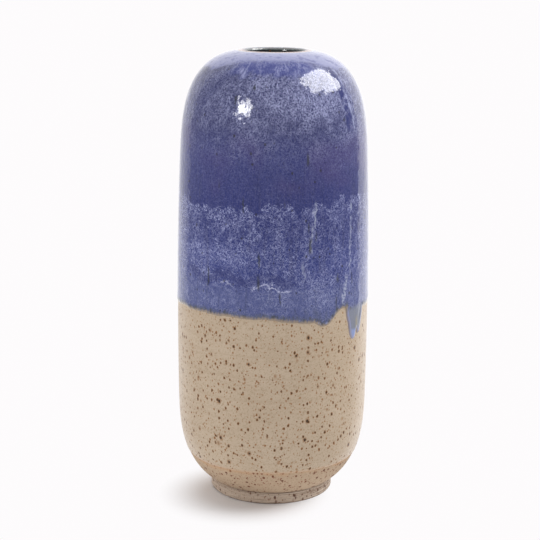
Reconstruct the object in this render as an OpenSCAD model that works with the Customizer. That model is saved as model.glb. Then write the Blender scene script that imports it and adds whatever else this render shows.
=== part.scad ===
// Wheel-thrown stoneware bud vase: a tall, softly square-shouldered bottle with a small mouth,
// standing on a low foot ring. The upper half is dipped in a thick blue glaze that has run a
// little, the lower half has a thin clear glaze, and the clay is bare just above the foot.
// Heights are measured up from the table, and radii from the throwing axis, Z.

/* [Clay wall] */
// Height of the clay from the table to the lip
clay_h = 199.6; // [190:0.2:215]
// Radius of the clay wall at its reference height
wall_r = 42.4; // [40:0.1:46]
// Height at which wall_r is measured
wall_ref_z = 100; // [90:1:110]
// How much the wall narrows over 100 mm of height
wall_taper = 1.3; // [0:0.1:3]
// How much the wall bellies: the radius it loses 100 mm from its reference height
wall_belly = 2.5; // [0:0.1:5]
// Thickness of the thrown wall
wall_t = 4.2; // [3:0.1:6]
// Thickness of the floor
floor_t = 6; // [4:0.5:9]

/* [Lower curve and shoulder] */
// Height at which the lower curve runs into the wall
low_z = 47; // [40:1:60]
// Fullness of the lower curve: 2 is an ellipse, higher is squarer
low_power = 3.0; // [2.4:0.1:3.6]
// Height at which the shoulder leaves the wall
shoulder_z = 152; // [140:1:160]
// Fullness of the shoulder: 2 is an ellipse, higher is squarer
shoulder_power = 3.3; // [2.4:0.1:4]

/* [Mouth] */
// Radius of the finished mouth, inside the glaze
mouth_r = 13.2; // [10:0.1:16]
// Thickness of the clay round the mouth, top to bottom
neck_t = 5.2; // [4.6:0.1:7]
// Radius of the rolled lip
lip_round = 1.2; // [0.8:0.1:1.6]

/* [Foot ring] */
// Outer radius of the foot ring
foot_r = 27.8; // [25:0.1:28.6]
// Height of the foot ring
foot_h = 5.4; // [4.4:0.1:6.4]
// Width of the foot ring, from its outer to its inner wall
foot_w = 5.6; // [4:0.1:8]
// Rounding of the foot ring's lower edges
foot_round = 0.8; // [0.4:0.1:1.2]

/* [Glazes] */
// Thickness of the blue glaze on the wall
blue_t = 0.8; // [0.5:0.05:1.2]
// Thickness of the thin clear glaze
clear_t = 0.3; // [0.2:0.05:0.5]
// Thickness of the liner glaze inside, and of both glazes where they meet on the lip
liner_t = 0.4; // [0.3:0.05:0.5]
// How far out from the mouth the blue glaze thins towards the lip
blue_thins_over = 15; // [8:1:22]
// Height of the line where the clear glaze was wiped off above the foot
wiped_z = 19; // [12:0.5:24]
// Mean height of the blue glaze's lower edge
edge_z = 90.6; // [86:0.2:94]

/* [Hidden] */
$fn = 72;

floor_z = foot_h + floor_t;
bore_r = mouth_r + liner_t;
lip_r = bore_r + lip_round;
bore_top_z = clay_h - lip_round;
bore_low_z = clay_h - neck_t;

// Number of straight steps that stand for each stretch of the outline.
bare_steps = 3;
curve_steps = 14;
wall_steps = 15;
lip_steps = 8;
// The lip's roll is split here between the blue glaze outside and the liner inside.
lip_split_step = 3;
// Straight stretch left at each end of the mouth, so that its glazed wall is a true cylinder.
bore_ease = 0.4;

// Radius of the clay's outer wall at height z, without the lower curve or the shoulder.
function wall_at(z) =
    let (u = (z - wall_ref_z) / 100)
    wall_r - wall_taper * u - wall_belly * u * u;

// A point of a superellipse quarter that leaves the wall at height z0 and runs h up (or down,
// when h is negative). The wall is set in by inset, and the angle a runs from 0 at the wall.
function curve_point(a, z0, h, power, inset) =
    let (z = z0 + h * pow(sin(a), 2 / power))
    [(wall_at(z) - inset) * pow(max(cos(a), 0), 2 / power), z];

// Height that a superellipse quarter needs to pass radius r after rising by rise.
function curve_height(rise, r, wall, power) = rise / pow(1 - pow(r / wall, power), 1 / power);

// Angle at which such a quarter, h high, has risen by rise.
function curve_angle(rise, h, power) = asin(pow(rise / h, power / 2));

// The outer lower curve aims at the table, so its full height is low_z.
foot_angle = curve_angle(low_z - foot_h, low_z, low_power);
wiped_angle = curve_angle(low_z - wiped_z, low_z, low_power);

shoulder_h = curve_height(clay_h - shoulder_z, lip_r, wall_at(clay_h), shoulder_power);
shoulder_angle = curve_angle(clay_h - shoulder_z, shoulder_h, shoulder_power);

inner_shoulder_h =
    curve_height(bore_low_z - shoulder_z, bore_r, wall_at(bore_low_z) - wall_t, shoulder_power);
inner_shoulder_angle =
    curve_angle(bore_low_z - shoulder_z, inner_shoulder_h, shoulder_power);

bare_line = [for (i = [0 : bare_steps - 1])
    curve_point(foot_angle + (wiped_angle - foot_angle) * i / bare_steps, low_z, -low_z, low_power, 0)];
lower_line = [for (i = [0 : curve_steps - 1])
    curve_point(wiped_angle * (1 - i / curve_steps), low_z, -low_z, low_power, 0)];
wall_line = [for (i = [0 : wall_steps - 1])
    let (z = low_z + (shoulder_z - low_z) * i / wall_steps) [wall_at(z), z]];
shoulder_line = [for (i = [0 : curve_steps - 1])
    curve_point(shoulder_angle * i / curve_steps, shoulder_z, shoulder_h, shoulder_power, 0)];
lip_line = [for (i = [0 : lip_steps])
    let (a = 90 + 90 * i / lip_steps) [lip_r + lip_round * cos(a), bore_top_z + lip_round * sin(a)]];
bore_line = [
    [bore_r, bore_top_z - bore_ease],
    [bore_r, bore_low_z + bore_ease]
];
inner_shoulder_line = [for (i = [0 : curve_steps - 1])
    curve_point(inner_shoulder_angle * (1 - i / curve_steps), shoulder_z, inner_shoulder_h,
        shoulder_power, wall_t)];
inner_wall_line = [for (i = [0 : wall_steps - 1])
    let (z = shoulder_z + (low_z - shoulder_z) * i / wall_steps) [wall_at(z) - wall_t, z]];
inner_lower_line = [for (i = [0 : curve_steps])
    curve_point(90 * i / curve_steps, low_z, floor_z - low_z, low_power, wall_t)];

// The clay's whole outline, from the foot up the outside, over the lip and down the inside.
clay_line = concat(bare_line, lower_line, wall_line, shoulder_line, lip_line, bore_line,
    inner_shoulder_line, inner_wall_line, inner_lower_line);

// Where each coat starts and stops along the outline.
clear_start = bare_steps;
wall_start = clear_start + curve_steps;
shoulder_start = wall_start + wall_steps;
lip_start = shoulder_start + curve_steps;
lip_split = lip_start + lip_split_step;
line_end = len(clay_line) - 1;

// Outward direction at point i of the outline.
function outward(i) =
    let (d = clay_line[min(i + 1, line_end)] - clay_line[max(i - 1, 0)])
    [d.y, -d.x] / norm(d);

// Thickness of the blue glaze at radius r: thinner towards the mouth.
function blue_at(r) =
    liner_t + (blue_t - liner_t) * min(1, (r - bore_r) / blue_thins_over);

// One glaze coat: a skin on the clay from point first to point last, thick(r) deep.
module coat(first, last, thick) {
    clay_side = [for (i = [first : last]) clay_line[i]];
    air_side = [for (i = [last : -1 : first])
        let (p = clay_line[i] + outward(i) * thick(clay_line[i].x)) [max(p.x, 0), p.y]];
    rotate_extrude() polygon(concat(clay_side, air_side));
}

// Slow waves of the blue glaze's edge, all the way round: [waves in a turn, height, shift].
edge_waves = [[2, 0.5, -70], [5, 0.4, 75], [9, 0.3, 10], [17, 0.2, 130]];
// Places where the edge dips or rises, by the angle from the front to the right:
// [angle, half width in degrees, height]. The last three are two runs of glaze and the thin
// film between them.
edge_marks = [[25, 16, -4.6], [43, 6, 4], [164, 16, -3], [251, 11, -4],
    [54, 4, -12.4], [60, 4, -10.2], [57, 6, -4]];
edge_steps = 180;

// Share of a mark's height at an angle off its middle, for marks that fade out smoothly.
function mark_share(off, half_width) =
    abs(off) >= half_width ? 0 : pow(cos(90 * off / half_width), 2);

function edge_height(a) =
    edge_z
    + total([for (w = edge_waves) w[1] * sin(w[0] * a + w[2])])
    + total([for (m = edge_marks) m[2] * mark_share(a - m[0], m[1])]);

function total(v, i = 0) = i >= len(v) ? 0 : v[i] + total(v, i + 1);

// Everything between the blue glaze's edge and the level far_z, above it or below it, as a
// thick-walled ring that clears the mouth inside and the wall outside.
module edge_to(far_z) {
    inner = mouth_r - 4;
    outer = wall_r + 8;
    points = [for (k = [0 : edge_steps - 1])
        let (a = 360 * k / edge_steps, d = [sin(a), -cos(a)], top = edge_height(a))
        each [[inner * d.x, inner * d.y, top], [outer * d.x, outer * d.y, top],
            [outer * d.x, outer * d.y, far_z], [inner * d.x, inner * d.y, far_z]]];
    faces = [for (k = [0 : edge_steps - 1])
        for (s = [0 : 3])
            let (next = 4 * ((k + 1) % edge_steps),
                a = 4 * k + s,
                b = 4 * k + (s + 1) % 4,
                c = next + (s + 1) % 4,
                d = next + s)
            each far_z < edge_z ? [[a, b, c], [a, c, d]] : [[c, b, a], [d, c, a]]];
    polyhedron(points, faces);
}

// The thrown pot itself: one piece of clay, hollow, with a rolled lip.
module stoneware_body() {
    color("#b0906e")
        rotate_extrude()
            polygon(concat([[0, foot_h]], clay_line));
}

// The low ring that the pot stands on, luted to its underside.
module foot_ring() {
    outer_x = foot_r - foot_round;
    inner_x = foot_r - foot_w + foot_round;
    turns = [for (i = [0 : 4]) 22.5 * i];
    outer_edge = [for (a = turns)
        [outer_x + foot_round * sin(a), foot_round - foot_round * cos(a)]];
    inner_edge = [for (a = turns)
        [inner_x - foot_round * cos(a), foot_round - foot_round * sin(a)]];
    color("#a3917c")
        rotate_extrude()
            polygon(concat(inner_edge, outer_edge, [[foot_r, foot_h], [foot_r - foot_w, foot_h]]));
}

// Thin satin glaze over the lower half, from the wiped line up to the blue glaze.
module clear_glaze() {
    color("#bbaa94")
        intersection() {
            coat(clear_start, shoulder_start, function (r) clear_t);
            edge_to(0);
        }
}

// Thick glossy glaze over the upper half and the outer part of the lip.
module blue_glaze() {
    color("#5c61a0")
        intersection() {
            coat(wall_start, lip_split, function (r) blue_at(r));
            edge_to(clay_h + 10);
        }
}

// The glaze poured round the inside, from the lip down over the wall and floor.
module liner_glaze() {
    color("#5f696c")
        coat(lip_split, line_end, function (r) liner_t);
}

stoneware_body();
foot_ring();
clear_glaze();
blue_glaze();
liner_glaze();
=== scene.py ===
import math

import bpy
from mathutils import Matrix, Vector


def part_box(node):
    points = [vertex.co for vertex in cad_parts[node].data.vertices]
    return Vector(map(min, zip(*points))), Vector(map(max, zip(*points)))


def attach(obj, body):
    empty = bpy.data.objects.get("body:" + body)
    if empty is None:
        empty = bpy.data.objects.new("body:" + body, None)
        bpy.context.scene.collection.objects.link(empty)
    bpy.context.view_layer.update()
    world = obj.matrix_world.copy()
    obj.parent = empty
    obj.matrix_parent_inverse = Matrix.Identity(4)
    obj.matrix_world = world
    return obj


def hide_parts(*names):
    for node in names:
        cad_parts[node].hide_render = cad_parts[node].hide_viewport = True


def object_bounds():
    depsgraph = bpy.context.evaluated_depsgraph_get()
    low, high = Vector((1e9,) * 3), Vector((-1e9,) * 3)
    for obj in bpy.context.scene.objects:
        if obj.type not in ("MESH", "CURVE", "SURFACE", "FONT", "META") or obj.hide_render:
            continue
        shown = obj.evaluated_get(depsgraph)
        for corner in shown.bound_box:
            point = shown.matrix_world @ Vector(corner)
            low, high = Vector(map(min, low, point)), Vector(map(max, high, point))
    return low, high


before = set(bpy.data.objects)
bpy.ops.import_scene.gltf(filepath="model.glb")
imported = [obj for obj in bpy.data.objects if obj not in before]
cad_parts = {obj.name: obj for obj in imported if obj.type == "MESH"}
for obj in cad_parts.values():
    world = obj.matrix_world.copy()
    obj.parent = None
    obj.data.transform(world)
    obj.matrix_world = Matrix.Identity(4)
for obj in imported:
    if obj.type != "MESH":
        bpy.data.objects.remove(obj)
cad_low, cad_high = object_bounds()

# ---------------------------------------------------------------------------------------------
# The thrown pot
# One hollow piece of iron-speckled stoneware, thrown on the wheel and trimmed once it was leather
# hard. The glazes cover all of it but a narrow band above the foot and the floor underneath.
# ---------------------------------------------------------------------------------------------

MM = 0.001
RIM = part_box("stoneware_body")[1]
CLAY_TOP = RIM.z / MM
POT_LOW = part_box("stoneware_body")[0].z / MM
FLOOR_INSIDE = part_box("liner_glaze")[0].z / MM

# The wall narrows and bellies by these radii over 100 mm, measured from its reference height.
WALL_TAPER = 1.3
WALL_BELLY = 2.5
WALL_REFERENCE = 100
WALL_RADIUS = RIM.x / MM - WALL_TAPER ** 2 / (4 * WALL_BELLY)
WALL_THICK = 4.2
LOWER_CURVE_TOP = 47
LOWER_POWER = 3.0
SHOULDER_FOOT = 152
SHOULDER_POWER = 3.3
LINER_THICK = 0.4
BORE_RADIUS = 13.2 + LINER_THICK
LIP_ROUND = 1.2
LIP_RADIUS = BORE_RADIUS + LIP_ROUND
NECK_THICK = 5.2
MOUTH_EASE = 0.4
GLASS_IOR = 1.5

# The edge between the underside and the lower curve: its rounding, how far in the middle of that
# lies, and how far up the lower curve takes over.
LOW_EDGE_ROUND = 0.3
LOW_EDGE_IN = 0.45
LOW_EDGE_UP = 0.35


def wall_radius(height):
    """Radius of the clay's outer wall, in millimetres, with no lower curve or shoulder."""
    share = (height - WALL_REFERENCE) / 100
    return WALL_RADIUS - WALL_TAPER * share - WALL_BELLY * share ** 2


def full_height(rise, radius, wall, power):
    """Height of the superellipse quarter that has come in to a radius after rising so far."""
    return rise / (1 - (radius / wall) ** power) ** (1 / power)


def quarter(start, height, power, inset, turn_from, turn_to, steps):
    """Points along a superellipse quarter that leaves the wall, which is set in by inset."""
    points = []
    for step in range(steps + 1):
        turn = math.radians(turn_from + (turn_to - turn_from) * step / steps)
        z = start + height * math.sin(turn) ** (2 / power)
        points.append(((wall_radius(z) - inset) * max(math.cos(turn), 0) ** (2 / power), z))
    return points


def turn_at(rise, height, power):
    """How far round its quarter a superellipse has risen by so much, in degrees."""
    return math.degrees(math.asin(min(1, (rise / height) ** (power / 2))))


def straight(z_from, z_to, inset, steps):
    """Points up or down the plain wall."""
    heights = [z_from + (z_to - z_from) * step / steps for step in range(steps + 1)]
    return [(wall_radius(z) - inset, z) for z in heights]


def bend(centre_r, centre_z, radius, turn_from, turn_to, steps):
    """Points round a small rounded edge."""
    turns = [math.radians(turn_from + (turn_to - turn_from) * s / steps) for s in range(steps + 1)]
    return [(centre_r + radius * math.cos(t), centre_z + radius * math.sin(t)) for t in turns]


def lower_outside(z_from, steps):
    """The outer lower curve, from a height up to where it meets the wall."""
    turn = turn_at(LOWER_CURVE_TOP - z_from, LOWER_CURVE_TOP, LOWER_POWER)
    return quarter(LOWER_CURVE_TOP, -LOWER_CURVE_TOP, LOWER_POWER, 0, turn, 0, steps)


def shoulder_outside(steps):
    """The shoulder, from the wall to the lip."""
    rise = CLAY_TOP - SHOULDER_FOOT
    height = full_height(rise, LIP_RADIUS, wall_radius(CLAY_TOP), SHOULDER_POWER)
    turn = turn_at(rise, height, SHOULDER_POWER)
    return quarter(SHOULDER_FOOT, height, SHOULDER_POWER, 0, 0, turn, steps)


def lip(turn_from, turn_to, steps):
    """The rolled lip: 90 degrees is its crest and 180 its side towards the mouth."""
    return bend(LIP_RADIUS, CLAY_TOP - LIP_ROUND, LIP_ROUND, turn_from, turn_to, steps)


def inside(steps):
    """The inner wall, from below the mouth down to the middle of the floor."""
    neck_low = CLAY_TOP - NECK_THICK
    rise = neck_low - SHOULDER_FOOT
    wall = wall_radius(neck_low) - WALL_THICK
    height = full_height(rise, BORE_RADIUS, wall, SHOULDER_POWER)
    turn = turn_at(rise, height, SHOULDER_POWER)
    under = quarter(SHOULDER_FOOT, height, SHOULDER_POWER, WALL_THICK, turn, 0, steps)
    wall_line = straight(SHOULDER_FOOT, LOWER_CURVE_TOP, WALL_THICK, steps)
    bowl = quarter(LOWER_CURVE_TOP, FLOOR_INSIDE - LOWER_CURVE_TOP, LOWER_POWER, WALL_THICK,
                   0, 90, steps)
    mouth = [(BORE_RADIUS, CLAY_TOP - LIP_ROUND - MOUTH_EASE), (BORE_RADIUS, neck_low + MOUTH_EASE)]
    return mouth + under + wall_line[1:] + bowl[1:]


def with_outward(line):
    """Gives each point of a line the direction that points out of the clay there."""
    out = []
    for i, point in enumerate(line):
        before, after = line[max(i - 1, 0)], line[min(i + 1, len(line) - 1)]
        dr, dz = after[0] - before[0], after[1] - before[1]
        length = math.hypot(dr, dz) or 1
        out.append((point[0], point[1], dz / length, -dr / length))
    return out


def coat_outline(line, thick, follow=lambda z: 0, every=5):
    """A glaze coat's closed section: out along the glaze's face, then back along the clay.
    Each point is (radius, height, outward radius, outward height, thickness, follow). The side
    on the clay is never seen, so only one in every so many of its points is kept."""
    line = with_outward(line)
    clay_side = [p + (0, follow(p[1])) for p in line[:-1:every] + line[-1:]]
    face = [p + (thick(p[0], p[1]), follow(p[1])) for p in line]
    return face + clay_side[::-1] + face[:1]


class Wire:
    """A value in a node tree. Arithmetic on it adds the Math nodes that work it out."""

    def __init__(self, tree, socket=None):
        self.tree, self.socket = tree, socket

    def add(self, kind, settings=None, values=None, out=0):
        """Adds any other node: its settings are set first, then its sockets' values or links."""
        node = self.tree.nodes.new(kind)
        for name, value in (settings or {}).items():
            setattr(node, name, value)
        for key, value in (values or {}).items():
            if isinstance(value, Wire):
                self.tree.links.new(value.socket, node.inputs[key])
            else:
                node.inputs[key].default_value = value
        return Wire(self.tree, node.outputs[out])

    def maths(self, operation, *others):
        return self.add("ShaderNodeMath", {"operation": operation},
                        dict(enumerate((self,) + others)))

    def __add__(self, other):
        return self.maths("ADD", other)

    __radd__ = __add__

    def __sub__(self, other):
        return self.maths("SUBTRACT", other)

    def __rsub__(self, other):
        return (-self).maths("ADD", other)

    def __mul__(self, other):
        return self.maths("MULTIPLY", other)

    __rmul__ = __mul__

    def __truediv__(self, other):
        return self.maths("DIVIDE", other)

    def __pow__(self, other):
        return self.maths("POWER", other)

    def __neg__(self):
        return self.maths("MULTIPLY", -1)

    def size(self):
        return self.maths("ABSOLUTE")

    def sin(self):
        return self.maths("SINE")

    def cos(self):
        return self.maths("COSINE")

    def least(self, other):
        return self.maths("MINIMUM", other)

    def most(self, other):
        return self.maths("MAXIMUM", other)

    def soft(self, low, high):
        """0 below low and 1 above high with an eased step between, or the reverse if low > high."""
        return self.add("ShaderNodeMapRange", {"interpolation_type": "SMOOTHSTEP"},
                        {"Value": self, "From Min": low, "From Max": high})

    def band(self, low, high, ease):
        """1 between low and high, eased to 0 outside them."""
        return self.soft(low - ease, low + ease) * self.soft(high + ease, high - ease)

    def parts(self):
        split = self.add("ShaderNodeSeparateXYZ", None, {"Vector": self})
        outputs = split.socket.node.outputs
        return tuple(Wire(self.tree, outputs[i]) for i in range(3))

    def joined(self, x, y, z):
        return self.add("ShaderNodeCombineXYZ", None, {"X": x, "Y": y, "Z": z})

    def scaled(self, x, y, z):
        return self.add("ShaderNodeVectorMath", {"operation": "MULTIPLY"}, {0: self, 1: (x, y, z)})

    def moved(self, other):
        return self.add("ShaderNodeVectorMath", {"operation": "ADD"}, {0: self, 1: other})

    def noise(self, scale, detail=2.0, rough=0.5, twist=0.0, out=0):
        """Cloudy noise read at this place: about 0.5 on average."""
        return self.add("ShaderNodeTexNoise", {"noise_dimensions": "3D"},
                        {"Vector": self, "Scale": scale, "Detail": detail, "Roughness": rough,
                         "Distortion": twist}, out)

    def tint(self, other, amount):
        """This colour with another mixed over it by amount."""
        return self.add("ShaderNodeMix", {"data_type": "RGBA"}, {0: amount, 6: self, 7: other}, 2)


# The blue glaze's lower edge: slow waves as [waves in a turn, height, shift in degrees], then
# dips, rises and runs as [degrees round from the front, half width, height, power]. A power of 2
# swells gently, and one below 1 has steep sides and a blunt end, as a run does. The last row is
# the pair of runs: their shared top, then the two tips.
EDGE_MEAN = 89.9
EDGE_WAVES = [[2, 0.5, -70], [5, 0.4, 75], [9, 0.3, 10], [17, 0.2, 130]]
EDGE_MARKS = [[18, 26, -2.5, 1.3], [32.5, 7.5, -2.5, 1], [46, 6, 1.6, 0.8], [75, 20, -1.8, 0.7],
              [280, 30, -2.2, 1.2], [164, 16, -3, 2], [230, 14, -4, 2],
              [57, 9.2, -9.4, 0.34], [54.3, 4.1, -4.5, 0.42], [61.7, 3, -2.8, 0.4]]


def edge_rise(turn):
    """How far the blue glaze's edge stands above its mean height, in mm, at turn degrees."""
    rise = turn * 0
    for waves, height, shift in EDGE_WAVES:
        rise = rise + ((turn * waves + shift) * math.radians(1)).sin() * height
    for middle, half_width, height, power in EDGE_MARKS:
        aside = (turn - middle).maths("WRAP", 180, -180)
        off = (aside * (1 / half_width)).size().least(1)
        rise = rise + (off * (math.pi / 2)).cos().most(0) ** power * height
    return rise


def turning_tree():
    """The wheel: wraps a section round the throwing axis and gives the clay its ridges."""
    tree = bpy.data.node_groups.new("turned on the wheel", "GeometryNodeTree")
    inputs = [("Section", "NodeSocketGeometry", None), ("Turns", "NodeSocketInt", 480),
              ("Ridge depth", "NodeSocketFloat", 0.0), ("Ridges in 10 mm", "NodeSocketFloat", 3.0),
              ("Wander", "NodeSocketFloat", 0.0), ("Follows edge", "NodeSocketFloat", 0.0),
              ("Edge round", "NodeSocketFloat", 1.0), ("Finish", "NodeSocketMaterial", None)]
    for name, kind, value in inputs:
        socket = tree.interface.new_socket(name, in_out="INPUT", socket_type=kind)
        if value is not None:
            socket.default_value = value
    tree.interface.new_socket("Piece", in_out="OUTPUT", socket_type="NodeSocketGeometry")
    group = tree.nodes.new("NodeGroupInput")
    given = {socket.name: Wire(tree, socket) for socket in group.outputs if socket.name}
    desk = Wire(tree)

    count = desk.add("GeometryNodeAttributeDomainSize", None, {"Geometry": given["Section"]})
    rings = given["Turns"] + 1
    grid = desk.add("GeometryNodeMeshGrid", None, {"Size X": 1.0, "Size Y": 1.0,
                                                   "Vertices X": rings, "Vertices Y": count})
    index = desk.add("GeometryNodeInputIndex")
    ring = (index / count + 0.0001).maths("FLOOR")
    place_in_section = (index - ring * count).maths("ROUND")

    def read(kind, name):
        """A named attribute of the section, at this vertex's place along it."""
        value = desk.add("GeometryNodeInputNamedAttribute", {"data_type": kind}, {"Name": name})
        return desk.add("GeometryNodeSampleIndex", {"data_type": kind, "domain": "POINT"},
                        {"Geometry": given["Section"], "Value": value, "Index": place_in_section})

    radius, _, height = read("FLOAT_VECTOR", "position").parts()
    out_r, _, out_z = read("FLOAT_VECTOR", "outward").parts()
    thick = read("FLOAT", "thick") / MM
    follow = read("FLOAT", "follow")
    radius, height = radius / MM, height / MM
    turn = ring * 360 / given["Turns"]
    angle = turn * math.radians(1)

    # The glaze's edge wavers a little more than its waves say, and each run has a rounded side.
    on_edge = desk.joined(angle.sin(), angle.cos(), 0.0)
    waver = (on_edge.noise(9.0, 3.0) - 0.5) * 1.6
    rise = (edge_rise(turn) + waver) * given["Follows edge"]
    height = height + rise * follow
    gap = (height - (rise + EDGE_MEAN)).most(0)
    for aside in (-1.9, -1.2, -0.7, -0.3, 0.3, 0.7, 1.2, 1.9):
        there = edge_rise(turn + aside) * given["Follows edge"] + waver * given["Follows edge"]
        above = (height - (there + EDGE_MEAN)).most(0)
        gap = gap.least((above * above + (math.radians(aside) * WALL_RADIUS) ** 2) ** 0.5)
    into_edge = 1 - (gap / given["Edge round"]).most(0).least(1)
    rounded = (1 - into_edge * into_edge).most(0) ** 0.5
    bead = 1 - gap.soft(1.2, 6.0) * 0.16
    shape = (1 - given["Follows edge"]) + given["Follows edge"] * rounded * bead
    wall_shift = (height - WALL_REFERENCE) / 100
    old_shift = (height - rise * follow - WALL_REFERENCE) / 100
    radius = radius + ((old_shift - wall_shift) * WALL_TAPER
                       + (old_shift * old_shift - wall_shift * wall_shift) * WALL_BELLY)

    # Throwing ridges run nearly level round the pot, and the glaze lies a little uneven.
    flat = desk.joined(radius * angle.sin(), radius * angle.cos(), height)
    ridges = flat.scaled(0.012, 0.012, 1.0).noise(given["Ridges in 10 mm"] / 10, 2.0)
    uneven = flat.scaled(1.0, 1.0, 0.7).noise(0.09, 2.0)
    is_face = thick.soft(0.0, 0.02)
    sunk = (ridges * given["Ridge depth"] + uneven * given["Wander"]) * is_face * shape
    lift = (thick * shape - sunk).most(0)
    radius = (radius + out_r * lift).most(0)
    height = height + out_z * lift
    place = desk.joined(radius * angle.sin() * MM, radius * angle.cos() * -MM, height * MM)

    turned = desk.add("GeometryNodeSetPosition", None, {"Geometry": grid, "Position": place})
    marked = desk.add("GeometryNodeStoreNamedAttribute",
                      {"data_type": "FLOAT", "domain": "POINT"},
                      {"Geometry": turned, "Name": "edge_gap", "Value": gap})
    closed = desk.add("GeometryNodeMergeByDistance", None, {"Geometry": marked, "Distance": 2e-6})
    smooth = desk.add("GeometryNodeSetShadeSmooth", None, {"Geometry": closed})
    real = desk.add("GeometryNodeRealizeInstances", None, {"Geometry": smooth})
    done = desk.add("GeometryNodeSetMaterial", None,
                    {"Geometry": real, "Material": given["Finish"]})
    output = tree.nodes.new("NodeGroupOutput")
    tree.links.new(done.socket, output.inputs["Piece"])
    return tree


WHEEL = turning_tree()


def turned_piece(name, section, finish, **sizes):
    """Turns a section on the wheel and returns the piece as a plain mesh object."""
    mesh = bpy.data.meshes.new(name)
    points = [(p[0] * MM, 0, p[1] * MM) for p in section]
    mesh.from_pydata(points, [(i, i + 1) for i in range(len(points) - 1)], [])
    outward = mesh.attributes.new("outward", "FLOAT_VECTOR", "POINT")
    outward.data.foreach_set("vector", [v for p in section for v in (p[2], 0, p[3])])
    thick = mesh.attributes.new("thick", "FLOAT", "POINT")
    thick.data.foreach_set("value", [p[4] * MM for p in section])
    follow = mesh.attributes.new("follow", "FLOAT", "POINT")
    follow.data.foreach_set("value", [p[5] for p in section])
    blank = bpy.data.objects.new(name + " section", mesh)
    bpy.context.scene.collection.objects.link(blank)
    wheel = blank.modifiers.new("wheel", "NODES")
    wheel.node_group = WHEEL
    given = {s.name: s.identifier for s in WHEEL.interface.items_tree if s.in_out == "INPUT"}
    wheel[given["Finish"]] = finish
    for size, value in sizes.items():
        wheel[given[size.replace("_", " ")]] = value
    shape = blank.evaluated_get(bpy.context.evaluated_depsgraph_get())
    turned = bpy.data.meshes.new_from_object(shape)
    bpy.data.objects.remove(blank)
    turned.name = name
    piece = bpy.data.objects.new(name, turned)
    bpy.context.scene.collection.objects.link(piece)
    return piece


def paint(red, green, blue):
    """A colour from a paint card's 0 to 255 values, as the linear colour that shaders take."""
    card = [value / 255 for value in (red, green, blue)]
    linear = [c / 12.92 if c <= 0.04045 else ((c + 0.055) / 1.055) ** 2.4 for c in card]
    return (*linear, 1.0)


def between(share, low, high):
    """The colour that lies at a share of the way from one paint to another."""
    return share.add("ShaderNodeMix", {"data_type": "RGBA"}, {0: share, 6: low, 7: high}, 2)


def new_finish(name, roughness):
    """An empty finish with its shader, and the place on the pot in millimetres."""
    material = bpy.data.materials.new(name)
    material.use_nodes = True
    tree = material.node_tree
    shader = tree.nodes["Principled BSDF"]
    shader.inputs["Roughness"].default_value = roughness
    shader.inputs["IOR"].default_value = GLASS_IOR
    here = Wire(tree).add("ShaderNodeTexCoord", out=3).scaled(1 / MM, 1 / MM, 1 / MM)
    return material, shader, here


def feed(shader, name, wire):
    """Links a value to one of the shader's sockets."""
    wire.tree.links.new(wire.socket, shader.inputs[name])


def rough_relief(shader, height, depth):
    """Raises the surface by height, where 1 stands depth millimetres proud."""
    feed(shader, "Normal", height.add("ShaderNodeBump", None,
                                      {"Strength": 1.0, "Distance": depth * MM, "Height": height}))


def iron_specks(here, per_mm, radius, share, seed, fuzz=0.25):
    """Spots of iron in the clay: 1 in a spot's middle. Share is how many of them show."""
    wobble = here.moved((seed, seed * 2, -seed)).noise(1.3, 2.0, out=1)
    place = here.moved((seed, -seed, seed * 3)).moved(wobble.scaled(0.7, 0.7, 0.9))
    place = place.scaled(1.0, 1.0, 0.75)
    found = place.add("ShaderNodeTexVoronoi", {"voronoi_dimensions": "3D"},
                      {"Vector": place, "Scale": per_mm})
    pick, size, _ = Wire(here.tree, found.socket.node.outputs["Color"]).parts()
    reach = (size * 0.7 + 0.5) * (radius * per_mm)
    return (found / reach).soft(1 + fuzz, 1 - fuzz) * pick.soft(share + 0.01, share - 0.01)


def speckled(here, ground, dark, rust, faint):
    """The fired clay's colour, with its three sizes of iron spot, and the spots' own mask.
    Ground is the clay's two shades, and dark, rust and faint are the iron's colours."""
    cloud = here.noise(0.05, 3.0, 0.6)
    grain = here.noise(1.4, 3.0, 0.75)
    colour = between(cloud.soft(0.3, 0.7), ground[0], ground[1])
    colour = colour.tint(faint, grain.soft(0.48, 0.72) * 0.55)
    small = iron_specks(here, 0.75, 0.31, 0.95, 5.0, 0.3)
    middle = iron_specks(here, 0.5, 0.54, 0.85, 31.0, 0.25)
    core = iron_specks(here, 0.5, 0.36, 0.85, 31.0, 0.3)
    large = iron_specks(here, 0.24, 0.5, 0.5, 57.0, 0.25)
    halo = iron_specks(here, 0.24, 0.85, 0.5, 57.0, 0.45)
    colour = colour.tint(rust, small * 0.8)
    colour = colour.tint(rust, (middle * 0.95).most(halo * 0.7))
    colour = colour.tint(dark, (large * 0.95).most(core * 0.9))
    return colour, large.most(middle * 0.5)


def bare_clay():
    """Unglazed stoneware: dry, sandy and warmer than it looks under glaze, with painted shade along
    its lowest edge, where it overhangs the foot.
    """
    material, shader, here = new_finish("bare speckled stoneware", 0.85)
    colour, specks = speckled(here, (paint(188, 163, 136), paint(194, 170, 143)),
                              paint(70, 36, 22), paint(130, 68, 36), paint(136, 104, 74))
    _, _, height = here.parts()
    scorched = height + (here.noise(0.08, 3.0) - 0.5) * 5
    colour = colour.tint(paint(200, 152, 108), scorched.soft(16.5, 18.8)
                         * here.noise(0.1, 2.0).soft(0.3, 0.6) * 0.5)
    # Painted shade: the pot's lowest millimetre, over the foot, is darkened as if in shadow.
    colour = colour.tint(paint(100, 76, 58), height.soft(POT_LOW + 0.9, POT_LOW + 0.2) * 0.4)
    feed(shader, "Base Color", colour)
    sand = here.noise(2.2, 4.0, 0.7)
    turning = here.scaled(0.02, 0.02, 1.0).noise(1.1, 3.0, 0.6)
    rough_relief(shader, sand * 0.6 + turning * 0.6 + specks * 0.3, 0.12)
    return material


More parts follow.
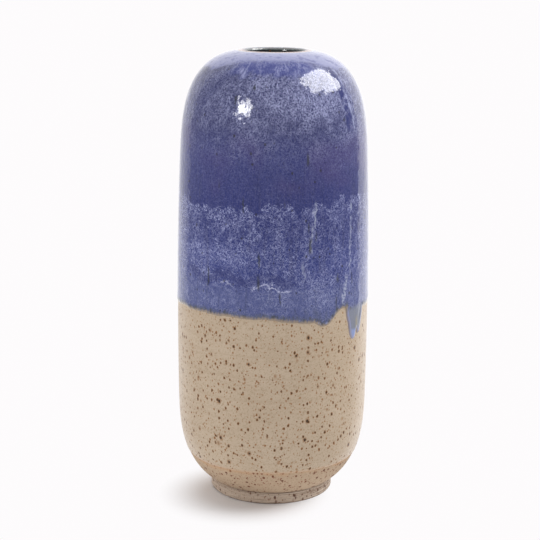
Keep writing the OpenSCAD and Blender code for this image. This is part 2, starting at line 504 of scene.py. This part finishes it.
pot_line = ([(0, POT_LOW), (12, POT_LOW), (24, POT_LOW)]
            + bend(lower_outside(POT_LOW, 2)[0][0] - LOW_EDGE_IN, POT_LOW + LOW_EDGE_ROUND,
                   LOW_EDGE_ROUND, 270, 330, 4)
            + lower_outside(POT_LOW + LOW_EDGE_UP, 24)
            + straight(LOWER_CURVE_TOP, SHOULDER_FOOT, 0, 20)[1:]
            + shoulder_outside(24)[1:] + lip(90, 180, 8)[1:] + inside(24))
pot_section = [p + (0, 0) for p in with_outward(pot_line)]
pot = turned_piece("thrown_pot", pot_section, bare_clay(), Turns=360)
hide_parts("stoneware_body")
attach(pot, "root")

# ---------------------------------------------------------------------------------------------
# The foot ring
# A low ring of the same clay, luted under the floor and turned true with a metal tool, which
# leaves fine lines round it and drags the iron spots. Its lower edge is rubbed smooth.
# ---------------------------------------------------------------------------------------------

FOOT_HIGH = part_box("foot_ring")[1]
FOOT_RADIUS = FOOT_HIGH.x / MM
FOOT_TOP = FOOT_HIGH.z / MM
FOOT_WIDTH = 5.6
FOOT_EDGE = 0.8


def turned_foot_clay():
    """The foot's bare clay: greyer, with turning lines partly painted as highlight and shade, a
    darker lower edge, and painted shade along its top.
    """
    material, shader, here = new_finish("turned foot clay", 0.8)
    colour, specks = speckled(here, (paint(194, 173, 153), paint(202, 182, 162)),
                              paint(70, 40, 30), paint(130, 84, 58), paint(128, 108, 92))
    _, _, height = here.parts()
    lines = here.scaled(0.015, 0.015, 1.0).noise(2.6, 3.0, 0.7)
    # The turning lines are pale where they stand proud and dark where they sink: partly the clay's
    # own streaks, partly painted highlight and painted shade.
    colour = colour.tint(paint(214, 200, 184), lines.soft(0.52, 0.62) * 0.75)
    colour = colour.tint(paint(120, 96, 80), lines.soft(0.48, 0.38) * 0.7)
    # The lowest millimetre of the foot is painted darker.
    near_floor = height + (here.noise(0.35, 3.0) - 0.5) * 1.2
    colour = colour.tint(paint(92, 66, 52), near_floor.soft(1.0, 0.1) * 0.75)
    # Painted shade: the top of the foot, where the body overhangs it, is darkened as if in shadow.
    colour = colour.tint(paint(84, 64, 52), height.soft(FOOT_TOP - 0.8, FOOT_TOP - 0.2) * 0.3)
    feed(shader, "Base Color", colour)
    rough_relief(shader, lines + here.noise(2.4, 3.0) * 0.4 + specks * 0.2, 0.12)
    return material


foot_outer = FOOT_RADIUS - FOOT_EDGE
foot_inner = FOOT_RADIUS - FOOT_WIDTH + FOOT_EDGE
foot_line = (bend(foot_inner, FOOT_EDGE, FOOT_EDGE, 180, 270, 6)
             + bend(foot_outer, FOOT_EDGE, FOOT_EDGE, 270, 360, 8)
             + [(FOOT_RADIUS, FOOT_EDGE + (FOOT_TOP - FOOT_EDGE) * s / 12) for s in range(1, 13)]
             + [(FOOT_RADIUS - FOOT_WIDTH, FOOT_TOP), (FOOT_RADIUS - FOOT_WIDTH, FOOT_EDGE)])
foot_section = [p + (0, 0) for p in with_outward(foot_line)]
foot = turned_piece("turned_foot_ring", foot_section, turned_foot_clay(), Turns=360)
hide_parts("foot_ring")
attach(foot, "root")

# ---------------------------------------------------------------------------------------------
# The clear glaze
# A thin satin glaze over the lower half. The clay and its iron show through it, and the iron
# bleeds into it as rusty haloes. It was wiped off in a line just above the foot.
# ---------------------------------------------------------------------------------------------

WIPED_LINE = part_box("clear_glaze")[0].z / MM
CLEAR_THICK = 0.3
CLEAR_TOP = EDGE_MEAN + 8


def satin_over_clay():
    """The speckled clay as it looks through the clear glaze, with the glaze's soft shine."""
    material, shader, here = new_finish("satin glaze on speckled clay", 0.42)
    shader.inputs["Coat Roughness"].default_value = 0.22
    colour, specks = speckled(here, (paint(197, 176, 150), paint(203, 183, 158)),
                              paint(58, 36, 8), paint(150, 93, 20), paint(136, 104, 62))
    _, _, height = here.parts()
    lines = here.scaled(0.01, 0.01, 1.0).noise(0.5, 3.0, 0.6)
    colour = colour.tint(paint(182, 158, 130), lines.soft(0.5, 0.7) * 0.3)
    colour = colour.tint(paint(200, 152, 108), height.soft(WIPED_LINE + 1.5, WIPED_LINE) * 0.4)
    feed(shader, "Base Color", colour)
    feed(shader, "Roughness", here.noise(0.4, 3.0) * 0.16 + 0.34)
    feed(shader, "Coat Weight", here.noise(0.3, 2.0).soft(0.2, 0.8) * 0.2 + 0.1)
    rough_relief(shader, here.noise(0.9, 3.0, 0.6) * 0.5 + lines * 1.2 + specks * 0.25, 0.1)
    return material


def clear_depth(radius, height):
    """Its thickness, which feathers out at the wiped line."""
    return CLEAR_THICK * min(1, max(0, (height - WIPED_LINE) / 0.8 + 0.1)) ** 0.5


clear_line = lower_outside(WIPED_LINE, 64) + straight(LOWER_CURVE_TOP, CLEAR_TOP, 0, 40)[1:]
clear = turned_piece("clear_glaze_coat", coat_outline(clear_line, clear_depth),
                     satin_over_clay(), Turns=480, Ridge_depth=0.08, Ridges_in_10_mm=3.2)
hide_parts("clear_glaze")
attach(clear, "root")

# ---------------------------------------------------------------------------------------------
# The liner glaze
# Poured in, swirled round and poured out again, so it coats the inside up to the lip. It fired
# to a glossy grey with a green cast, and the iron in the clay has spotted it.
# ---------------------------------------------------------------------------------------------

LIP_MEETS = 123.75


def grey_liner():
    """Glossy grey-green glaze, rusty where it is thin over the lip."""
    material, shader, here = new_finish("grey liner glaze", 0.12)
    _, y, height = here.parts()
    cloud = here.noise(0.12, 3.0, 0.6)
    colour = between(cloud.soft(0.35, 0.65), paint(36, 40, 44), paint(58, 64, 66))
    colour = colour.tint(paint(120, 78, 42), iron_specks(here, 0.5, 0.5, 0.75, 12.0, 0.4) * 0.9)
    colour = colour.tint(paint(46, 36, 32), iron_specks(here, 0.3, 0.6, 0.7, 44.0, 0.3) * 0.9)
    thin = (height + (here.noise(0.8, 2.0) - 0.5) * 0.8).soft(CLAY_TOP - 0.9, CLAY_TOP - 0.3)
    colour = colour.tint(paint(168, 180, 182), thin * 0.85)
    colour = colour.tint(paint(150, 62, 16), (y.soft(5, -5) * 0.75 + 0.2)
                         * height.soft(CLAY_TOP - 0.5, CLAY_TOP - 0.15))
    feed(shader, "Base Color", colour)
    rough_relief(shader, here.noise(0.35, 3.0), 0.15)
    return material


liner_line = lip(LIP_MEETS, 180, 6) + inside(30)
liner_section = coat_outline(liner_line, lambda r, z: LINER_THICK, every=2)
liner = turned_piece("liner_glaze_coat", liner_section, grey_liner(), Turns=360)
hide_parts("liner_glaze")
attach(liner, "root")

# ---------------------------------------------------------------------------------------------
# The blue glaze
# The neck end was dipped in a thick cobalt glaze, which ran in the kiln: it is thin over the lip
# and shoulder, heavy at its lower edge, and it grew pale crystals where it cooled slowly.
# ---------------------------------------------------------------------------------------------

BLUE_THICK = 0.8
BLUE_THINS_OVER = 15
FOLLOWS_UP_TO = 30
CLOSE_ROWS_UP_TO = 122
MM_PER_DEGREE = WALL_RADIUS * math.radians(1)

# Where things lie on the glaze: heights in millimetres, and degrees round from the front.
CROWN_LOW, CROWN_HIGH = 196.0, 197.6
POOL_LOW, POOL_HIGH = 191.4, 197.0
FROST_TOP = 137.5
FOLD_HEIGHT = 103.2
BLOOM_HEIGHT, BLOOM_TURN = 98.5, 26
LOBE_FROM, LOBE_TO = 12, 37
RUNS_FROM, RUNS_TO = 48.2, 66
LONG_RUN, BETWEEN_RUNS = 54.4, 58.3


def blue_depth(radius, height):
    """Its thickness, less towards the lip."""
    share = min(1, max(0, (radius - BORE_RADIUS) / BLUE_THINS_OVER))
    return LINER_THICK + (BLUE_THICK - LINER_THICK) * share


def follows_edge(height):
    """How far a row of the coat keeps to the wavy edge: fully for 3 mm, then less and less."""
    share = min(1, max(0, (height - EDGE_MEAN - 3) / (FOLLOWS_UP_TO - 3)))
    return 1 - share * share * (3 - 2 * share)


def worms(place, per_mm, width):
    """Thin winding lines, 1 along their middles."""
    return 1 - ((place.noise(per_mm, 2.0, 0.55) - 0.5).size() / width).least(1)


class Melt:
    """What the glaze's layers share: where they are on the pot, and how the melt clouded and ran.
    Heights and widths are in millimetres, and angles in degrees round from the front."""

    def __init__(self, here):
        self.here = here
        self.x, self.y, self.height = here.parts()
        self.around = self.x.maths("ARCTAN2", -self.y) * math.degrees(1)
        self.across = self.around * MM_PER_DEGREE
        self.gap = here.add("ShaderNodeAttribute", {"attribute_name": "edge_gap"}, out=2)
        self.patch = here.noise(0.11, 4.0, 0.6, 0.6)
        self.clump = here.noise(0.32, 3.0, 0.6)
        self.streak = here.scaled(1.0, 1.0, 0.07).noise(0.55, 3.0, 0.6)
        self.fine_streak = here.scaled(1.0, 1.0, 0.1).noise(1.3, 2.0, 0.6)
        cloud = here.noise(0.05, 3.0, 0.6)
        self.level = (self.height + (cloud - 0.5) * 10 + (self.patch - 0.5) * 8
                      + (self.streak - 0.5) * 5)
        twisted = here.moved(here.noise(0.35, 2.0, out=1).scaled(2.4, 2.4, 2.4))
        self.fine = worms(twisted.scaled(1, 1, 0.75), 0.92, 0.05)
        finer = worms(twisted.moved((40, 10, 0)), 1.5, 0.05)
        self.lines = self.fine.most(finer * 0.75)
        self.run = self.around.band(RUNS_FROM, RUNS_TO, 0.8) * self.height.soft(93, 89)


def cobalt_ground(melt):
    """The ground colour, from the edge up: mid blue, deep blue, dark violet, then blue again."""
    here, level = melt.here, melt.level
    colour = between(level.soft(112, 130), paint(46, 58, 128), paint(37, 46, 114))
    colour = colour.tint(paint(52, 58, 120), level.soft(134, 150))
    colour = colour.tint(paint(53, 56, 103), level.soft(156, 174) * 0.9)
    colour = colour.tint(paint(84, 93, 146), level.soft(106, 99) * 0.85)
    colour = colour.tint(paint(86, 66, 118), here.noise(0.035, 2.0).soft(0.48, 0.66)
                         * level.band(142, 168, 6) * 0.32)
    colour = colour.tint(paint(40, 46, 104), melt.streak.soft(0.52, 0.7)
                         * level.band(104, 152, 8) * 0.75)
    colour = colour.tint(paint(90, 90, 136), melt.fine_streak.soft(0.5, 0.7)
                         * level.band(108, 166, 6) * 0.24)
    dust = here.noise(1.2, 3.0, 0.7)
    colour = colour.tint(paint(98, 102, 150), dust.soft(0.52, 0.68) * 0.48)
    return colour.tint(paint(36, 40, 88), dust.soft(0.48, 0.33) * 0.6)


def shoulder_crystals(colour, melt):
    """Worm-like crystals over the shoulder, in clouds, with a few straying down the belt.
    Returns the colour and how thick the crystals lie."""
    bright_side = (melt.around - 20).size().soft(52, 12) * melt.height.band(176, 192, 6)
    clouds = (melt.patch.soft(0.36, 0.64) * 0.4 + melt.clump.soft(0.35, 0.65) * 0.25
              + bright_side * 0.42 + 0.12)
    mottled = melt.level.soft(149, 181) * clouds * (melt.around.soft(-52, -15) * 0.4 + 0.6)
    colour = colour.tint(paint(96, 100, 150), mottled * 0.18)
    colour = colour.tint(paint(46, 50, 96), melt.here.noise(1.3, 2.0).soft(0.55, 0.7) * mottled)
    shown = melt.lines * mottled * 1.55 + melt.lines * 0.1
    return colour.tint(paint(176, 181, 222), shown.least(0.95)), mottled


def frost(colour, melt):
    """Crystals that start abruptly under the belt and lie in drifts on deep blue.
    Returns the colour and how thick the crystals lie."""
    start = (FROST_TOP + (melt.patch - 0.5) * 22 + (melt.clump - 0.5) * 10
             + (melt.around * 0.05).sin() * 1.5)
    below = (start - melt.height).soft(-0.5, 1.5) * melt.height.soft(100, 106)
    drift = melt.patch.soft(0.42, 0.62) * 0.5 + melt.clump.soft(0.46, 0.62) * 0.5
    top_drift = (start - melt.height).band(0, 5, 2) * melt.clump.soft(0.4, 0.55) * 0.5
    left_drift = melt.height.band(113, 120, 4) * melt.around.soft(5, -25) * 0.5
    frosted = (below * (drift + left_drift + top_drift).least(1)
               * (1 - melt.around.soft(0, 30) * 0.2))
    sparse = (melt.lines - 0.35).most(0) * 1.54
    colour = colour.tint(paint(92, 99, 156), frosted * 0.05 + left_drift * below * 0.35)
    colour = colour.tint(paint(174, 180, 224),
                         (sparse * (frosted * 1.3 + below * 0.25)).least(0.92))

    # A paler belt runs under the frost, down to the edge, with one round bloom in it.
    bloom = ((melt.around - BLOOM_TURN) ** 2 * 0.55 + (melt.height - BLOOM_HEIGHT) ** 2) ** 0.5
    low = melt.height.soft(112, 104) * (melt.clump.soft(0.4, 0.62) * 0.5
                                        + melt.patch.soft(0.45, 0.6) * 0.3 + 0.15
                                        + bloom.soft(8, 4) * 0.7)
    colour = colour.tint(paint(66, 74, 116), melt.streak.soft(0.5, 0.68)
                         * melt.height.soft(106, 102) * 0.5)
    return colour.tint(paint(160, 166, 206), (melt.lines * low * 0.9).least(0.9)), frosted


def fold(colour, melt):
    """A band of bare cobalt where the glaze folded as it ran, with a pale crease at its foot."""
    here, across = melt.here, melt.across
    warp = (melt.patch - 0.5) * 9 + (melt.clump - 0.5) * 4
    crease = melt.height - (FOLD_HEIGHT + ((across + 3) * 0.33).cos() * 1.5
                            + (here.noise(0.5, 4.0) - 0.5) * 6)
    bare = (crease + warp * 0.25).band(1.4, 5.4, 0.8) * across.band(-42, 9, 3)
    colour = colour.tint(paint(52, 58, 116), bare * (0.4 + melt.streak.soft(0.6, 0.4) * 0.3))
    along = across.band(-9, 7, 1.5) + across.band(-24, -17, 1.5) * 0.6
    return colour.tint(paint(190, 194, 226), crease.size().soft(0.55, 0.12) * along
                       * here.noise(0.9, 2.0).soft(0.28, 0.46) * 0.9)


# Pale veins where the glaze parted round a run, as (degrees round, lowest, highest, width, lean
# in degrees for each mm up, strength), and olive iron smears as (degrees round, lowest, highest,
# width).
VEINS = [(21.5, 118, 139, 0.8, 0.18, 0.8), (50.5, 106, 138, 0.6, 0.03, 0.7),
         (44.6, 93, 106, 1.3, 0.24, 0.9), (17.5, 106, 114, 1.0, 0.0, 0.5)]
SMEARS = [(-8, 112, 118, 0.7), (-17.5, 135, 141, 0.6), (21.5, 118, 124, 0.7), (20.5, 127, 131, 0.6),
          (40, 104, 107.5, 0.8), (52.5, 102, 107, 0.6), (-40, 102, 110, 0.5), (4, 96, 101, 0.5)]


def veins_and_smears(colour, melt):
    """The pale veins, the olive smears beside them, and small dark dots of iron."""
    here, height = melt.here, melt.height
    for turn, lowest, highest, width, lean, strength in VEINS:
        wander = (here.noise(0.3, 2.0) - 0.5) * 4 + (height - lowest) * (lean * MM_PER_DEGREE)
        off = (melt.across - turn * MM_PER_DEGREE - wander).size()
        mask = off.soft(width, width * 0.3) * height.band(lowest, highest, 1.5)
        ragged = here.noise(1.1, 3.0, 0.6).soft(0.36, 0.56)
        colour = colour.tint(paint(172, 178, 204), mask * ragged * strength)
    smears = iron_specks(here.scaled(1, 1, 0.3), 0.2, 0.6, 0.6, 83.0, 0.5)
    for turn, lowest, highest, width in SMEARS:
        off = (melt.around - turn + (here.noise(0.5, 2.0) - 0.5) * 3).size() * MM_PER_DEGREE
        smears = smears.most(off.soft(width, width * 0.2) * height.band(lowest, highest, 1.2))
    colour = colour.tint(paint(50, 54, 56), smears * 0.75)
    dots = iron_specks(here, 0.3, 0.45, 0.55, 17.0, 0.35)
    return colour.tint(paint(44, 42, 40), dots * 0.75)


# Cobalt streaks that ran down the shoulder, as (degrees round, lowest, highest, half width in
# degrees, lean in degrees for each mm up, strength).
STREAKS = [(54, 168, 194, 4.4, -0.23, 1.0), (-56, 176, 196, 4.5, 1.3, 0.2)]


def shoulder_streaks(colour, melt):
    """The cobalt streaks, each with a pale line down its far side."""
    height, clump = melt.height, melt.clump
    for turn, lowest, highest, width, lean, strength in STREAKS:
        off = melt.around - turn - (height - lowest) * lean + (melt.patch - 0.5) * 9
        fall = height.band(lowest, highest, 3) * strength
        colour = colour.tint(paint(44, 51, 116), off.size().soft(width, width * 0.5) * fall
                             * clump.soft(0.72, 0.48) * 0.9)
        colour = colour.tint(paint(170, 176, 216), off.band(width * 0.9, width * 1.3, 0.6) * fall
                             * clump.soft(0.4, 0.6) * 0.7)
    return colour


def pool_and_crown(colour, melt):
    """The pool of cobalt below the lip, pale streaks in it, and the pale crown round the mouth,
    which is partly the glaze's own pale blue and partly a painted reflection.
    """
    height, around, clump = melt.height, melt.around, melt.clump
    pool = ((height + (clump - 0.5) * 7).band(POOL_LOW, POOL_HIGH, 1.5)
            * around.size().soft(44, 26))
    colour = colour.tint(paint(80, 88, 158), pool * 0.75)
    spokes = melt.here.joined(around * 0.45 + clump * 4, 0.0, height * 0.2).noise(1.0, 4.0, 0.7)
    pale_spokes = spokes.soft(0.47, 0.64).most(melt.fine * 0.6) * melt.patch.soft(0.36, 0.56)
    colour = colour.tint(paint(182, 186, 226), pool * pale_spokes * 0.8)
    # The pale crown is partly the thin glaze's own pale blue and partly a painted reflection.
    crown = (height + (clump - 0.5) * 3
             + around.size().soft(25, 60) * 3.5).soft(CROWN_LOW, CROWN_HIGH)
    colour = colour.tint(paint(160, 164, 206), crown * 0.88)
    colour = colour.tint(paint(96, 102, 160), crown * clump.soft(0.50, 0.64) * 0.75)
    return colour.tint(paint(120, 124, 176), crown * melt.fine.soft(0.3, 0.8) * 0.5)


def thin_edge(colour, melt):
    """The thin edge, where clay and iron grey the blue, and the pale rims of the runs."""
    here, height, around, gap, run = melt.here, melt.height, melt.around, melt.gap, melt.run
    ragged = gap + (melt.streak - 0.5) * 4.5 + (here.noise(0.8, 3.0) - 0.5) * 2
    lobe = around.band(LOBE_FROM, LOBE_TO, 5)
    flecks = ragged.band(-0.5, 2.6, 0.8) * here.scaled(1, 1, 0.6).noise(0.8, 2.0).soft(0.52, 0.62)
    colour = colour.tint(paint(92, 98, 112), ragged.soft(3.6, 0.6) * (1 - run) * 0.8)
    colour = colour.tint(paint(88, 95, 122), lobe * ragged.band(2.6, 6.5, 1.2)
                         * melt.streak.soft(0.4, 0.6) * 0.6)
    colour = colour.tint(paint(138, 142, 150), run * gap.soft(0.9, 2.2) * (0.6 + melt.streak * 0.4))
    colour = colour.tint(paint(158, 152, 138), run * (around - BETWEEN_RUNS).size().soft(1.6, 0.8)
                         * height.soft(88, 84) * 0.8)
    colour = colour.tint(paint(72, 74, 74), flecks * (1 - run) * 0.7)
    rim = gap.band(0.5, 1.7, 0.4) * (run + lobe * here.noise(0.7, 2.0).soft(0.48, 0.62))
    colour = colour.tint(paint(158, 168, 208), rim * 0.7)
    bulb = (around - LONG_RUN).size().soft(3.8, 1.8) * height.band(76, 81, 0.7)
    colour = colour.tint(paint(146, 162, 212), bulb * 0.8)
    fringe = gap + (here.noise(0.9, 3.0) - 0.5) * 1.6 + (melt.fine_streak - 0.5) * 2.4 * (1 - run)
    return colour.tint(paint(170, 152, 130), fringe.soft(2.0, 0.2) * (0.85 - run * 0.3))


def rusty_lip(colour, melt):
    """The rusty line where both glazes break over the lip, strongest in front, on a pale rim that
    is a painted highlight.
    """
    out = (melt.x * melt.x + melt.y * melt.y) ** 0.5
    broken = melt.here.noise(0.4, 2.0).soft(0.4, 0.6)
    rust = out.soft(16.6, 15.8) * (melt.y.soft(6, -4) * 0.75 + broken * 0.25)
    # Painted highlight: a pale band round the top of the shoulder, just outside the lip's crest.
    colour = colour.tint(paint(176, 186, 200), out.soft(17.4, 16.4))
    return colour.tint(paint(150, 62, 16), rust * 0.95)


def crystal_blue():
    """Cobalt glaze with pale crystals, streaks where it ran, and a thin edge."""
    material, shader, here = new_finish("running crystal blue glaze", 0.1)
    melt = Melt(here)
    colour, mottled = shoulder_crystals(cobalt_ground(melt), melt)
    colour, frosted = frost(colour, melt)
    for layer in (fold, veins_and_smears, shoulder_streaks, pool_and_crown, thin_edge, rusty_lip):
        colour = layer(colour, melt)
    feed(shader, "Base Color", colour)
    crystals = melt.lines * (mottled + frosted)
    feed(shader, "Roughness", here.noise(0.25, 2.0) * 0.05 + crystals * 0.03 + 0.035)
    swell = here.noise(0.13, 2.0)
    peel = here.noise(0.45, 1.0, 0.4)
    rough_relief(shader, swell * 1.6 + peel * 0.8 + melt.streak * 0.15 + crystals * 0.01, 0.14)
    return material


near_edge = [0, 0.06, 0.14, 0.24, 0.36, 0.5, 0.66, 0.85, 1.1, 1.4, 1.8, 2.3, 3.0]
edge_rows = [(wall_radius(EDGE_MEAN + d), EDGE_MEAN + d) for d in near_edge]
blue_line = (edge_rows + straight(EDGE_MEAN + 4, CLOSE_ROWS_UP_TO, 0, 27)
             + straight(CLOSE_ROWS_UP_TO, SHOULDER_FOOT, 0, 15)[1:] + shoulder_outside(48)[1:]
             + lip(90, LIP_MEETS, 6)[1:])
blue = turned_piece("blue_glaze_coat", coat_outline(blue_line, blue_depth, follows_edge),
                    crystal_blue(), Turns=600, Wander=0.1, Follows_edge=1.0, Edge_round=2.0)
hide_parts("blue_glaze")
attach(blue, "root")

# ---------------------------------------------------------------------------------------------
# The table it stands on
# A wide sheet of plain white paper, matt, with no edge in sight.
# ---------------------------------------------------------------------------------------------

TABLE_RADIUS = 12.0

# The paper shows the vase's rendered shadow round this place, in millimetres, and beyond it glows
# plain white, a painted light that also cuts the shadow short behind and to the right.
SHADOW_X, SHADOW_Y = -12, -14
SHADOW_FULL, SHADOW_GONE = 16, 41


def white_paper():
    """Plain white paper that glows evenly white away from the vase, a painted light, so that it has
    no edge.
    """
    material, shader, here = new_finish("white paper", 0.9)
    shader.inputs["Specular IOR Level"].default_value = 0.0
    x, y, _ = here.parts()
    away = ((x - SHADOW_X) ** 2 + (y - SHADOW_Y) ** 2) ** 0.5
    shader.inputs["Base Color"].default_value = (0.9, 0.89, 0.895, 1)
    glow = Wire(material.node_tree).add("ShaderNodeEmission", None,
                                        {"Color": (0.985, 0.968, 0.977, 1), "Strength": 1.0})
    lit = Wire(material.node_tree, shader.outputs[0])
    # Painted light: away from the shadow place the paper's own glow covers the rendered shading.
    both = glow.add("ShaderNodeMixShader", None,
                    {0: away.soft(SHADOW_FULL, SHADOW_GONE), 1: lit, 2: glow})
    end = material.node_tree.nodes["Material Output"]
    material.node_tree.links.new(both.socket, end.inputs["Surface"])
    return material


table_mesh = bpy.data.meshes.new("paper_table")
paper_edge = [(TABLE_RADIUS * math.cos(math.radians(t)),
               TABLE_RADIUS * math.sin(math.radians(t)), 0) for t in range(0, 360, 5)]
table_mesh.from_pydata(paper_edge, [], [list(range(len(paper_edge)))])
table = bpy.data.objects.new("paper_table", table_mesh)
table_mesh.materials.append(white_paper())
bpy.context.scene.collection.objects.link(table)
table.visible_glossy = False

# ---------------------------------------------------------------------------------------------
# The light
# A white sweep behind the vase and a dim room in front of it, one large soft box high on the
# right and a small one in a frame of cloth on the left. Three of the lights only show as
# reflections, and the other two only light the vase, so that each can be set on its own.
# ---------------------------------------------------------------------------------------------

# The sweep is full inside the second of these angles from straight behind and from level, and
# ends at the first. The dim room's strength and the plain white that the camera sees follow.
SWEEP_ENDS, SWEEP_FULL = 59, 54
DIM_ROOM = 0.49
SEEN_WHITE = 0.98


def room():
    """White behind the vase up to a height, and dimmer elsewhere."""
    world = bpy.data.worlds.new("studio")
    world.use_nodes = True
    tree = world.node_tree
    way = Wire(tree).add("ShaderNodeTexCoord", out=0)
    x, y, z = way.parts()
    from_behind = x.size().maths("ARCTAN2", y) * math.degrees(1)
    height = (z / (x * x + y * y + z * z) ** 0.5).maths("ARCSINE") * math.degrees(1)
    sweep = (from_behind.soft(SWEEP_ENDS, SWEEP_FULL) * height.soft(SWEEP_ENDS, SWEEP_FULL)
             * (0.8 + x * 0.34))
    seen = Wire(tree).add("ShaderNodeLightPath", out=0)
    strength = (sweep + DIM_ROOM) * (1 - seen) + seen * SEEN_WHITE
    tree.links.new(strength.socket, tree.nodes["Background"].inputs["Strength"])
    tree.nodes["Background"].inputs["Color"].default_value = (1, 0.99, 0.995, 1)
    bpy.context.scene.world = world


def soft_box(name, turn, rise, distance, size, watts, tilt=0):
    """A light that faces the vase's middle from turn degrees right of the camera's side."""
    lamp = bpy.data.lights.new(name, "AREA")
    lamp.shape = "RECTANGLE"
    lamp.size, lamp.size_y = size
    lamp.energy = watts
    holder = bpy.data.objects.new(name, lamp)
    t, e = math.radians(turn), math.radians(rise)
    middle = (0, 0, 0.5 * cad_high.z)
    way = (math.sin(t) * math.cos(e), -math.cos(t) * math.cos(e), math.sin(e))
    holder.location = [m + distance * w for m, w in zip(middle, way)]
    facing = (Matrix.Rotation(t, 3, "Z") @ Matrix.Rotation(math.pi / 2 - e, 3, "X")
              @ Matrix.Rotation(math.radians(tilt), 3, "Z"))
    holder.rotation_euler = facing.to_euler()
    holder.visible_camera = False
    bpy.context.scene.collection.objects.link(holder)
    return holder


room()
soft_box("large_soft_box", 90, 48, 1.1, (0.85, 0.55), 15, -14).visible_diffuse = False
soft_box("light_spilt_from_it", 98, 48, 1.1, (0.85, 0.55), 6.5, -14).visible_glossy = False
soft_box("small_soft_box", -40.5, 26, 0.9, (0.12, 0.10), 1.3).visible_diffuse = False
soft_box("cloth_round_it", -40.5, 27, 0.9, (0.26, 0.26), 2.6).visible_diffuse = False
soft_box("wall_on_the_left", -75, 20, 0.9, (0.6, 0.6), 1.6).visible_glossy = False
bpy.context.scene.view_settings.view_transform = "Standard"

# ---------------------------------------------------------------------------------------------
# The camera
# A short telephoto, a little above the vase and tipped down at it.
# ---------------------------------------------------------------------------------------------

lens = bpy.data.cameras.new("camera")
lens.lens, lens.sensor_width = 94.1, 36.0
lens.clip_start, lens.clip_end = 0.01, 50.0
camera = bpy.data.objects.new("camera", lens)
camera.location = (-0.0013, -0.620, 0.2462)
TIPPED_DOWN, ROLLED = 13.15, 0.45
aim = Matrix.Rotation(math.radians(90 - TIPPED_DOWN), 3, "X")
camera.rotation_euler = (aim @ Matrix.Rotation(math.radians(ROLLED), 3, "Z")).to_euler()
bpy.context.scene.collection.objects.link(camera)
bpy.context.scene.camera = camera
